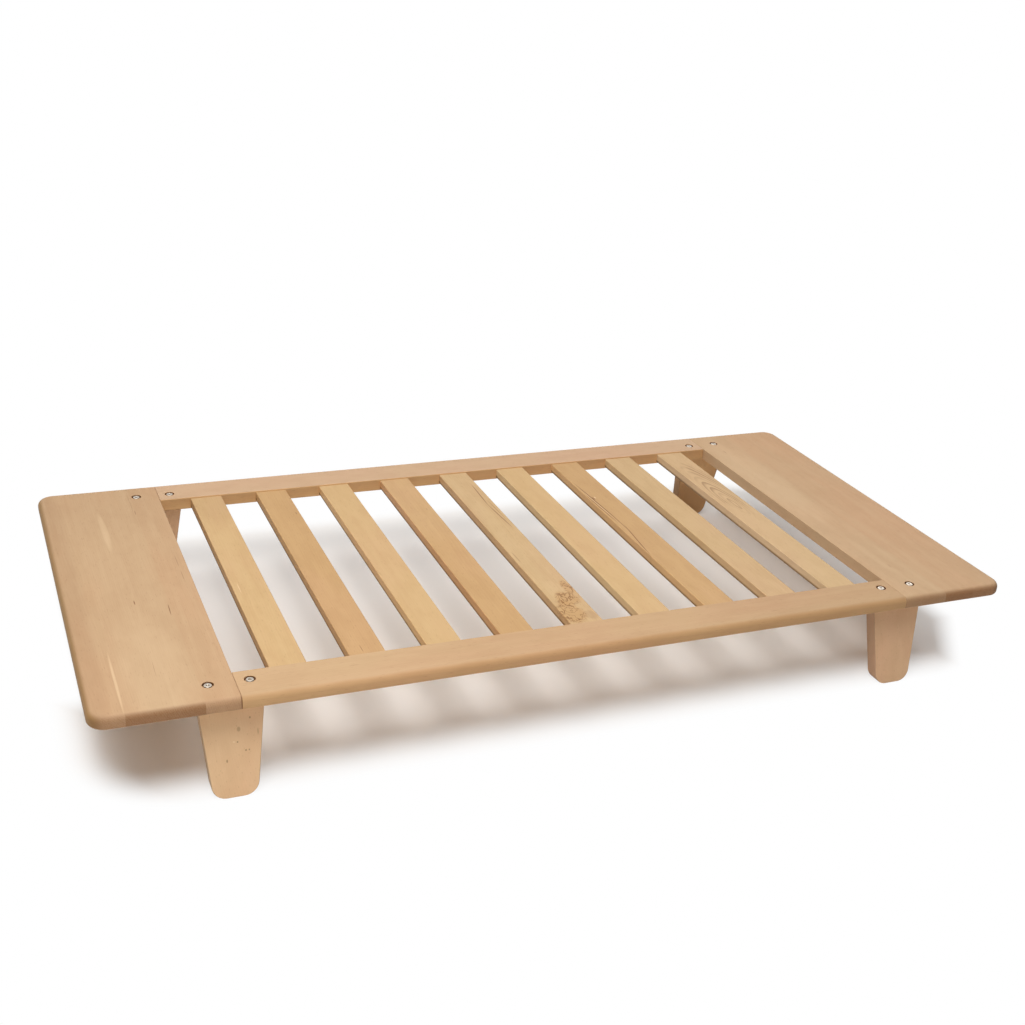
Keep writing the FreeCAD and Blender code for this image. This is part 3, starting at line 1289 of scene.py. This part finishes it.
@dataclass
class Leg(Piece):
    """One tapered board leg, splayed outwards, with big round foot corners."""

    kind = "leg"
    slot = "leg_beech"
    top_half: float = 0.044
    foot_half: float = 0.0295
    foot_radius: float = 0.02
    arris: float = 0.0015
    thickness: float = 0.022
    insert_radius: float = 0.00505
    tip_room: float = 0.65

    def mesh(self) -> bpy.types.Object:
        """Builds the leg: a tongue laid in the splayed plane, carried level across the bed.

        Under each insert the leg has room for the bolt's tip.

        Returns:
            The leg.
        """
        low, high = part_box(self.node)
        outward = -1.0 if self.place.startswith("front") else 1.0
        outline = Tongue((high.z - low.z) / math.cos(LEG_SPLAY), self.top_half, self.foot_half,
                         self.foot_radius, 18, 16, 10)
        profile = edge_profile(self.thickness / math.cos(LEG_SPLAY), self.arris, self.arris,
                               2.2 * self.arris, 6)
        top = np.array([(low.x + high.x) / 2.0, high.y if outward < 0 else low.y, high.z])
        down = outward * math.sin(LEG_SPLAY) * Y_AXIS - math.cos(LEG_SPLAY) * Z_AXIS
        placing = Placing(top, down, X_AXIS, outward * Y_AXIS)
        leg = tongue_board(outline, profile, 0.0, placing).build(self.node + "_wood")
        inserts_low, inserts_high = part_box("threaded_inserts_" + self.place)
        half = (inserts_high.y - inserts_low.y) / 2.0
        seat, mouth = inserts_low.z, high.z + PAST
        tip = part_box("bolts_" + self.place)[0].z - PAST
        rows = [(0.0, tip), (half * self.tip_room, tip), (half * self.tip_room, seat),
                (self.insert_radius, seat), (self.insert_radius, mouth), (0.0, mouth)]
        drill(leg, [turned_hole(rows, (x, inserts_low.y + half, 0.0), 32)
                    for x in (inserts_low.x + half, inserts_high.x - half)])
        return leg


@dataclass
class LegBolts(Piece):
    """The two bolts of one corner, with low flat heads and hexagon sockets."""

    kind = "bolts"
    slot = "bolt_steel"
    socket_turns: tuple[float, float] = (0.0, 0.0)
    head_radius: float = 0.00525
    head_height: float = 0.0041
    head_rounding: float = 0.0007
    seat_chamfer: float = 0.0003
    shank_radius: float = 0.003
    length: float = 0.03
    tip_chamfer: float = 0.0008
    socket_flats: float = 0.004
    socket_depth: float = 0.0022
    socket_cone: float = 0.0005
    socket_lip: float = 0.00025

    def bolt(self, x: float, y: float, seat: float, spin: float) -> np.ndarray:
        """One bolt as a grid: round in the shank and the head, and six-sided in the socket.

        The hexagon's radius at turn t is half the flats / cos of the turn from the nearest
        flat's middle. Across the flat top the radius runs evenly from hexagon to circle, and
        the head's edge is a quarter circle.

        Args:
            x: the bolt's place.
            y: the bolt's place.
            seat: height of the underside of the head.
            spin: the socket's turn.

        Returns:
            The points, shaped (steps, turns, 3).
        """
        turn = full_turn(96)
        sixth = np.pi / 3.0
        hexagon = self.socket_flats / 2.0 / np.cos((turn + sixth / 2.0) % sixth - sixth / 2.0)
        top, round_off, shank = self.head_height, self.head_rounding, self.shank_radius
        floor, flat, lip = top - self.socket_depth, self.head_radius - round_off, hexagon + self.socket_lip
        rows = [(0.0, floor - self.socket_cone), (0.8 * hexagon, floor), (hexagon, floor),
                (hexagon, top - self.socket_lip), (lip, top)]
        rows += [(lip + (flat - lip) * share, top) for share in (0.35, 0.7)]
        rows += [(flat + round_off * math.sin(arc), top - round_off * (1.0 - math.cos(arc)))
                 for arc in quarter_turn(7)]
        rows += [(self.head_radius, self.seat_chamfer), (self.head_radius - self.seat_chamfer, 0.0),
                 (shank, 0.0), (shank, self.tip_chamfer - self.length),
                 (shank - self.tip_chamfer, -self.length), (0.0, -self.length)]
        radius = np.stack([np.broadcast_to(row[0], turn.shape) for row in rows])
        height = np.array([[row[1]] for row in rows])
        return revolve(radius, height, turn + spin) + np.array([x, y, seat])

    def mesh(self) -> bpy.types.Object:
        """Builds both bolts.

        Returns:
            One object of two closed solids.
        """
        low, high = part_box(self.node)
        skin = Skin()
        for x, spin in zip((low.x + self.head_radius, high.x - self.head_radius), self.socket_turns):
            skin.add_grid(self.bolt(x, (low.y + high.y) / 2.0, low.z + self.length, spin), closed=True)
        return skin.build(self.node + "_steel")

    def paint(self) -> bpy.types.Material:
        """Builds the plating."""
        return self.finish.material()


@dataclass
class HiddenHardware:
    """The inserts and dowels inside the joints of one corner, whose CAD shapes stay."""

    corner: str
    plating: SteelFinish
    raw_beech: BeechFinish

    def dress(self, dresser: Dresser) -> None:
        """Repaints both CAD nodes."""
        dresser.repaint("threaded_inserts_" + self.corner, self.plating.material())
        node = "dowels_" + self.corner
        dresser.repaint(node, self.raw_beech.material(middle(node)))


# -------- studio
@dataclass(frozen=True)
class SoftLamp:
    """A square white softbox, aimed at a point."""

    name: str
    place: Vector
    side: float
    power: float
    aim: Vector = Vector((0.05, 0.0, 0.1))

    def hang(self) -> None:
        """Makes the lamp."""
        lamp = bpy.data.lights.new(self.name, "AREA")
        lamp.shape, lamp.size, lamp.energy = "SQUARE", self.side, self.power
        holder = bpy.data.objects.new(self.name, lamp)
        holder.location = self.place
        holder.rotation_euler = (self.aim - self.place).to_track_quat("-Z", "Y").to_euler()
        bpy.context.scene.collection.objects.link(holder)


@dataclass
class Studio:
    """A plain pale floor, soft lamps, a pale surround and the camera.

    The shadow fields say where the floor turns from its own colour to white. Reaches are
    distances or places between which it turns, and lifts are how far it goes. Where the bed's
    shadow falls, this white is painted light: it trims the shadow's edges and lightens it under
    the back and the right end of the bed.
    """

    lamps: tuple[SoftLamp, ...] = (
        SoftLamp("key", Vector((-0.95, -1.17, 2.56)), 1.4, 53.0),
        SoftLamp("overhead", Vector((0.0, 0.0, 3.0)), 2.5, 36.0),
        SoftLamp("back_right", Vector((1.8, 1.2, 2.2)), 1.5, 20.0),
        SoftLamp("back_left", Vector((-1.8, 1.4, 2.2)), 1.5, 15.0),
        SoftLamp("front", Vector((-0.9, -2.3, 1.4)), 1.2, 6.5, Vector((-0.1, 0.0, 0.1))),
    )
    surround: float = 0.01
    floor_half: float = 9.0
    floor_level: float = -0.0002
    floor_colour: Colour = srgb(248, 245, 241)
    shadow_middle: Vector = Vector((0.0215, 0.069, 0.0))
    shadow_half: Vector = Vector((0.5835, 0.246, 1.0))
    shadow_reach: tuple[float, float] = (0.095, 0.172)
    front_reach: tuple[float, float] = (-0.245, -0.355)
    back_reach: tuple[float, float] = (-0.1, 0.28)
    back_painted_light: float = 0.32
    back_side_reach: tuple[float, float] = (0.55, 0.35)
    back_side_share: float = 0.2
    left_reach: tuple[float, float] = (-0.658, -0.69)
    left_start: tuple[float, float] = (-0.12, -0.03)
    right_reach: tuple[float, float] = (0.57, 0.66)
    right_painted_light: float = 0.18
    corner_lean: float = 0.7
    corner_reach: tuple[float, float] = (0.83, 0.905)
    camera_place: Vector = Vector((-0.8133, -1.8327, 1.0907))
    heading: float = math.radians(23.8166)
    pitch: float = math.radians(-23.9136)
    roll: float = math.radians(4.0338)
    lens: float = 48.299
    sensor: float = 36.0

    def seen(self, graph: Graph) -> Value:
        """Tells the rays that show a background: from the camera, off gloss or through glass.

        Args:
            graph: the graph that asks.

        Returns:
            1 for those rays, and 0 for the rest.
        """
        camera, gloss, glass = (graph.value("ShaderNodeLightPath", output=f"Is {kind} Ray")
                                for kind in ("Camera", "Glossy", "Transmission"))
        return camera.math("MAXIMUM", gloss).math("MAXIMUM", glass)

    def light_world(self) -> None:
        """A white surround that lights the bed softly."""
        world = bpy.data.worlds.new("studio")
        bpy.context.scene.world = world
        graph = Graph(world)
        white = {"Color": PLAIN, "Strength": self.seen(graph).ease(0.0, 1.0, self.surround, 1.0)}
        graph.finish(graph.value("ShaderNodeBackground", white))

    def cleared(self, graph: Graph) -> Value:
        """How far the floor has turned white: the largest of six parts. Where the bed's shadow falls, this
        white is painted light that trims and lightens the shadow.

        1. Round the shadow's box: the distance outside it, which is the length of the positive
           part of |point - middle| - half.
        2. In front of the bed.
        3. Painted light under the bed towards its back, and less so towards its right end.
        4. Past the left end, from a little in front of the middle backwards.
        5. A slight painted light under the right end.
        6. Past the front right corner, by x - lean x y.

        Args:
            graph: the floor's graph.

        Returns:
            A value from 0 to 1.
        """
        place = graph.value("ShaderNodeTexCoord", output="Object")
        x, y = graph.split(place)[:2]
        apart = graph.vector("ABSOLUTE", graph.vector("SUBTRACT", place, self.shadow_middle))
        apart = graph.vector("MAXIMUM", graph.vector("SUBTRACT", apart, self.shadow_half), (0.0, 0.0, 0.0))
        clear = graph.vector("LENGTH", apart).ease(*self.shadow_reach)
        # Painted light: lightens the bed's shadow under its back and its right end.
        back = y.ease(*self.back_reach, 0.0, self.back_painted_light)
        for part in (
            back * x.ease(*self.back_side_reach, self.back_side_share, 1.0),
            x.ease(*self.left_reach) * y.ease(*self.left_start),
            x.ease(*self.right_reach, 0.0, self.right_painted_light),
            (x - y * self.corner_lean).ease(*self.corner_reach),
            y.ease(*self.front_reach),
        ):
            clear = clear.math("MAXIMUM", part)
        return clear

    def lay_floor(self) -> None:
        """A pale floor that holds the bed's shadow, lightened in places by painted light, and turns white
        away from it.
        """
        half = self.floor_half
        corners = [(x, y, self.floor_level) for x, y in ((-half, -half), (half, -half), (half, half),
                                                         (-half, half))]
        mesh = bpy.data.meshes.new("floor")
        mesh.from_pydata(corners, [], [[0, 1, 2, 3]])
        floor = bpy.data.objects.new("floor", mesh)
        bpy.context.scene.collection.objects.link(floor)
        graph = Graph(bpy.data.materials.new("pale_floor"))
        matt = graph.value("ShaderNodeBsdfDiffuse", {"Color": self.floor_colour})
        white = graph.value("ShaderNodeEmission", {"Strength": 1.0})
        mix = {0: self.cleared(graph) * self.seen(graph), 1: matt, 2: white}
        mesh.materials.append(graph.finish(graph.value("ShaderNodeMixShader", mix)))

    def set_camera(self) -> None:
        """The camera, from its heading, pitch and roll."""
        camera = bpy.data.cameras.new("camera")
        camera.lens, camera.sensor_width = self.lens, self.sensor
        camera.clip_start, camera.clip_end = 0.05, 60.0
        forward = Vector((math.sin(self.heading) * math.cos(self.pitch),
                          math.cos(self.heading) * math.cos(self.pitch), math.sin(self.pitch)))
        level = Vector((math.cos(self.heading), -math.sin(self.heading), 0.0))
        right = math.cos(self.roll) * level + math.sin(self.roll) * level.cross(forward)
        turn = Matrix((right, right.cross(forward), -forward)).transposed().to_4x4()
        holder = bpy.data.objects.new("camera", camera)
        holder.matrix_world = Matrix.Translation(self.camera_place) @ turn
        bpy.context.scene.collection.objects.link(holder)
        bpy.context.scene.camera = holder

    def set_up(self) -> None:
        """Builds the whole studio."""
        bpy.context.scene.view_settings.view_transform = "Standard"
        self.light_world()
        self.lay_floor()
        for lamp in self.lamps:
            lamp.hang()
        self.set_camera()
        log.info("studio: %d lamps, %.1f mm lens", len(self.lamps), self.lens)


# -------- the bed's pieces
def end_boards() -> list[EndBoard]:
    """The two end boards, each glued up from three staves.

    Returns:
        The left board and the right one.
    """
    bore = Vector((0.547, 0.308, 0.0))
    left = BeechFinish(
        "beech_end_board_left", BOARD_BEECH, Grain.ACROSS_BED, 0.7,
        Rings(heart_across=-0.16, heart_depth=-0.11, strength=0.08),
        Staves((-0.049, 0.049), (0.0, 0.1, 0.3), (0.0, 0.15, 0.05), (0.4, 0.75, 0.25)),
        (
            Mark(-0.085, 0.0, 1.2, 0.06, 0.12), Mark(0.01, 0.42, 0.6, 0.5, 0.07),
            Mark(0.0, -0.26, 0.36, 0.11, 0.09, pale=True),
            Mark(-0.0065, 0.183, 0.17, 0.012, 0.16, pale=True, wander=0.012),
            Mark(-0.0505, -0.27, 0.18, 0.0042, 0.3, pale=True, wander=0.004),
            Mark(0.044, 0.28, 0.12, 0.0011, 0.35, wander=0.03),
            Mark(0.0485, 0.245, 0.022, 0.0018, 0.55, wander=0.01), Mark(0.003, -0.062, 0.016, 0.002, 0.8),
            Mark(0.0455, -0.095, 0.04, 0.0017, 0.8, wander=0.01),
            Mark(0.001, -0.25, 0.05, 0.001, 0.3, wander=0.01),
            Mark(0.084, 0.055, 0.05, 0.0012, 0.4, wander=0.012),
            Mark(0.084, 0.005, 0.04, 0.0012, 0.4, wander=0.012),
        ),
        # The side tint is painted shade on the board's outer end face.
        side_shading=(0.7, 0.64, 0.47, 1.0), side=Vector((-1.0, 0.0, 0.0)), bore=bore,
    )
    right = BeechFinish(
        "beech_end_board_right", BOARD_BEECH, Grain.ACROSS_BED, 2.9,
        Rings(heart_across=0.14, heart_depth=-0.12, strength=0.07),
        Staves((-0.019, 0.034), (0.0, 0.3, 0.4), (0.15, 0.0, 0.0), (0.5, 0.8, 0.7)),
        (
            Mark(-0.06, 0.12, 0.5, 0.09, 0.1, pale=True), Mark(-0.051, -0.245, 0.014, 0.0018, 0.35),
            Mark(-0.06, 0.262, 0.018, 0.002, 0.35), Mark(0.078, 0.15, 0.016, 0.0016, 0.4),
        ),
        # The side tint is painted shade on the board's outer end face.
        side_shading=(0.62, 0.58, 0.48, 1.0), side=Vector((1.0, 0.0, 0.0)), bore=bore,
    )
    return [EndBoard("left", left), EndBoard("right", right)]


def side_rails(slat_set: list[Slat]) -> list[SideRail]:
    """The two side rails.

    Args:
        slat_set: the slats that they hold.

    Returns:
        The front rail and the back one.
    """
    bore = Vector((0.493, 0.308, 0.0))
    # The first two marks are painted light and shade: the rail paler towards its left end and darker
    # towards its right end. The rest are small specks.
    specks_and_end_shading = (
        Mark(0.0, -0.5, 0.7, 0.5, 0.06, pale=True), Mark(0.0, 0.52, 0.8, 0.5, 0.1),
        Mark(0.012, 0.285, 0.014, 0.0014, 0.35), Mark(-0.006, -0.355, 0.018, 0.0014, 0.3),
    )
    # Each rail's side tint is painted light and shade on its long side faces.
    front = BeechFinish("beech_rail_front", RAIL_BEECH, Grain.ALONG_BED, 4.1,
                        Rings(heart_across=0.1, heart_depth=0.12, strength=0.09), marks=specks_and_end_shading,
                        side_shading=(1.02, 0.94, 0.82, 1.0), bore=bore)
    back = BeechFinish("beech_rail_back", ROSY_RAIL, Grain.ALONG_BED, 6.6,
                       Rings(heart_across=-0.12, heart_depth=0.11, strength=0.08),
                       side_shading=(1.08, 0.96, 0.72, 1.0), bore=bore)
    return [SideRail("front", front, slat_set), SideRail("back", back, slat_set)]


def slats() -> list[Slat]:
    """The nine slats, each with its own tone and figure.

    Returns:
        The slats, from left to right.
    """
    tones = (PALE_SLAT, AMBER_SLAT, PALE_SLAT, AMBER_SLAT, OLIVE_SLAT, PALE_SLAT, AMBER_SLAT, OLIVE_SLAT,
             OLIVE_SLAT)
    arches = Rings(0.004, 0.002, 0.0141, 0.05, 0.155)
    figures = {
        5: (Figure(FigureKind.BURL, -0.01, -0.252, 0.02, 0.042, 0.75),
            Figure(FigureKind.BURL, 0.004, -0.206, 0.02, 0.024, 0.7),
            Figure(FigureKind.BURL, 0.017, -0.175, 0.009, 0.026, 0.65)),
        9: (Figure(FigureKind.ARCHES, 0.004, 0.115, 0.026, 0.125, 0.6, arches),),
    }
    marks = {
        1: (Mark(-0.016, -0.052, 0.04, 0.0016, 0.4, pale=True), Mark(0.0, 0.29, 0.26, 0.2, 0.12)),
        2: (Mark(0.019, 0.186, 0.012, 0.0018, 0.6), Mark(-0.0045, -0.268, 0.024, 0.0013, 0.6)),
        4: (Mark(0.0, 0.21, 0.42, 0.2, 0.06, pale=True), Mark(0.014, 0.15, 0.01, 0.0016, 0.35)),
        5: (Mark(0.015, -0.264, 0.034, 0.024, 0.2), Mark(-0.019, -0.06, 0.05, 0.003, 0.35),
            Mark(0.0135, 0.186, 0.11, 0.0024, 0.75, slope=0.039),
            Mark(0.0148, 0.095, 0.12, 0.0024, 0.7, slope=-0.066),
            Mark(0.019, 0.12, 0.1, 0.0018, 0.4, slope=-0.04)),
        7: (Mark(-0.0188, 0.11, 0.2, 0.0026, 0.95, slope=-0.038),
            Mark(-0.0195, -0.05, 0.14, 0.0024, 0.8, slope=0.095),
            Mark(-0.0222, 0.085, 0.15, 0.0024, 0.8, slope=-0.03),
            Mark(-0.016, 0.02, 0.12, 0.002, 0.6, slope=-0.01), Mark(-0.0165, 0.123, 0.014, 0.0055, 0.6),
            Mark(-0.013, 0.126, 0.01, 0.004, 0.5, pale=True),
            Mark(-0.0204, 0.1, 0.14, 0.0018, 0.5, pale=True, slope=-0.034)),
        9: (Mark(0.0, -0.05, 0.6, 0.2, 0.05, pale=True),),
    }
    # Painted light and shade on each slat's side faces: a tint that makes them lighter or darker as light
    # falls on them. Each slat also gets painted shade along its lower side edges.
    sides = (
        (0.9, 0.8, 0.72), (1.05, 1.0, 0.9), (1.18, 1.12, 1.05), (1.12, 1.0, 0.95), (1.04, 0.97, 0.92),
        (1.1, 1.14, 1.18), (1.2, 1.2, 1.2), (1.05, 1.03, 1.0), (1.14, 1.18, 1.28),
    )
    made = []
    for number, (tone, side) in enumerate(zip(tones, sides), start=1):
        rings = Rings(0.0028, 0.05 + 0.03 * (number % 4), -0.05 - 0.02 * (number % 3), 0.01, 0.02, 0.09)
        finish = BeechFinish(f"beech_slat_{number}", tone, Grain.ACROSS_BED, 1.3 * number + 0.4, rings,
                             marks=marks.get(number, ()), figures=figures.get(number, ()),
                             side_shading=(*side, 1.0), low_edge_shade=0.8)
        made.append(Slat(str(number), finish))
    return made


def legs() -> list[Leg]:
    """The four legs: the front left one has flecks of its own, and the back right one is darkened by
    painted shade.

    Returns:
        The legs.
    """
    flecks = (
        Mark(-0.0095, -0.0127, 0.0055, 0.0028, 0.5), Mark(0.0053, 0.0103, 0.003, 0.0026, 0.55),
        Mark(0.0006, 0.011, 0.0034, 0.0034, 0.6, pale=True), Mark(0.0075, 0.0268, 0.008, 0.006, 0.35),
        Mark(0.0229, 0.0399, 0.0036, 0.003, 0.5), Mark(0.0156, -0.002, 0.0034, 0.003, 0.55),
        Mark(0.02, -0.0019, 0.003, 0.0026, 0.5), Mark(0.0325, 0.0205, 0.011, 0.0014, 0.5),
    )
    # The back right leg's broad dark patch is painted shade over most of the leg.
    marks = {"front_left": flecks, "back_right": (Mark(0.0, -0.04, 0.13, 0.3, 0.42),)}
    tones = {"front_left": PALE_LEG, "front_right": LEG_BEECH, "back_left": LEG_BEECH,
             "back_right": GOLDEN_LEG}
    made = []
    for index, corner in enumerate(("front_left", "front_right", "back_left", "back_right")):
        lean = LEG_SPLAY * (-1.0 if corner.startswith("front") else 1.0)
        # The side tint is painted shade on the legs' side faces.
        finish = BeechFinish("beech_leg_" + corner, tones[corner], Grain.DOWN_LEG, 8.3 + 1.7 * index,
                             Rings(0.0031, 0.09, -0.02, 0.02, 0.02, 0.05), lean=lean,
                             marks=marks.get(corner, ()), side_shading=(0.66, 0.66, 0.7, 1.0))
        made.append(Leg(corner, finish))
    return made


def main() -> None:
    """Dresses the bed piece by piece and sets up the studio."""
    logging.basicConfig(level=logging.INFO, format="%(name)s: %(message)s")
    Studio().set_up()
    dresser = Dresser()
    slat_set = slats()
    for piece in (*end_boards(), *side_rails(slat_set), *slat_set, *legs()):
        piece.dress(dresser)
    zinc = SteelFinish("zinc_bolts")
    dull_zinc = SteelFinish("zinc_inserts", roughness=0.4)
    spins = {"front_left": (0.35, 0.9), "front_right": (0.1, 0.7), "back_left": (0.55, 0.2),
             "back_right": (0.8, 0.45)}
    for corner, spin in spins.items():
        LegBolts(corner, zinc, spin).dress(dresser)
        raw = BeechFinish("raw_beech_" + corner, LEG_BEECH, Grain.ALONG_BED, 15.0 + spin[0])
        HiddenHardware(corner, dull_zinc, raw).dress(dresser)
    log.info("%d pieces dressed", dresser.made)


if __name__ == "__main__":
    main()
